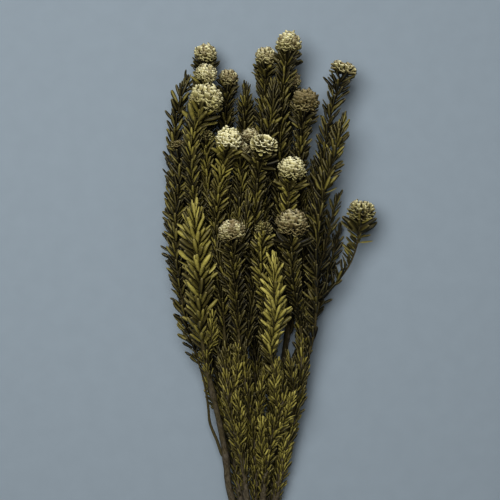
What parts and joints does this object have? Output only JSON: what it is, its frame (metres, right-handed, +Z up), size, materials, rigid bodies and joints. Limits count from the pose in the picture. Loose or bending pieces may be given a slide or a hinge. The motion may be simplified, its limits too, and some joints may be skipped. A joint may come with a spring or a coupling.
{
  "type": "bunch of dried conebush",
  "caption": "Bunch of dried conebush stems with short needle leaves and small papery cones, tied with a rubber band and lying down.",
  "frame": {"origin": "on the table, under the middle of the bunch's bounding box", "axes": "+Y from the cut ends to the cones, +X to the right, +Z up from the table"},
  "size_m": [0.2028, 0.549, 0.0931],
  "materials": {
    "bark": "rough dry grey-brown bark with leaf scars, pale wood on the cut ends",
    "leaves": "dry olive leaves, matt with a faint waxy sheen",
    "bracts": "dry papery bracts, pale olive with brown backs, matt",
    "rubber_band": "plain tan rubber, matt"
  },
  "bodies": {
    "root": {"stem_a": "bark", "stem_b": "bark", "stem_c": "bark", "stem_d": "bark", "stem_e": "bark", "stem_f": "bark", "stem_g": "bark", "stem_h": "bark", "shoot_a1": "leaves", "shoot_a2": "leaves", "shoot_a3": "leaves", "shoot_b1": "leaves", "shoot_b2": "leaves", "shoot_b3": "leaves", "shoot_c1": "leaves", "shoot_c2": "leaves", "shoot_c3": "leaves", "shoot_c4": "leaves", "shoot_d1": "leaves", "shoot_d2": "leaves", "shoot_d3": "leaves", "shoot_e1": "leaves", "shoot_e2": "leaves", "shoot_e3": "leaves", "shoot_e4": "leaves", "shoot_e5": "leaves", "shoot_e6": "leaves", "shoot_f1": "leaves", "shoot_f2": "leaves", "shoot_g1": "leaves", "shoot_g2": "leaves", "shoot_g3": "leaves", "shoot_g4": "leaves", "shoot_h1": "leaves", "shoot_h2": "leaves", "shoot_h3": "leaves", "shoot_h4": "leaves", "shoot_h5": "leaves", "shoot_h6": "leaves", "cone_a2": "bracts", "cone_b1": "bracts", "cone_b2": "bracts", "cone_b3": "bracts", "cone_c1": "bracts", "cone_c2": "bracts", "cone_c3": "bracts", "cone_d1": "bracts", "cone_d2": "bracts", "cone_d3": "bracts", "cone_e1": "bracts", "cone_e2": "bracts", "cone_e3": "bracts", "cone_e5": "bracts", "cone_f2": "bracts", "cone_g1": "bracts", "cone_g2": "bracts", "cone_g3": "bracts", "cone_h1": "bracts", "cone_h2": "bracts", "rubber_band": "rubber_band"}
  },
  "joints": []
}
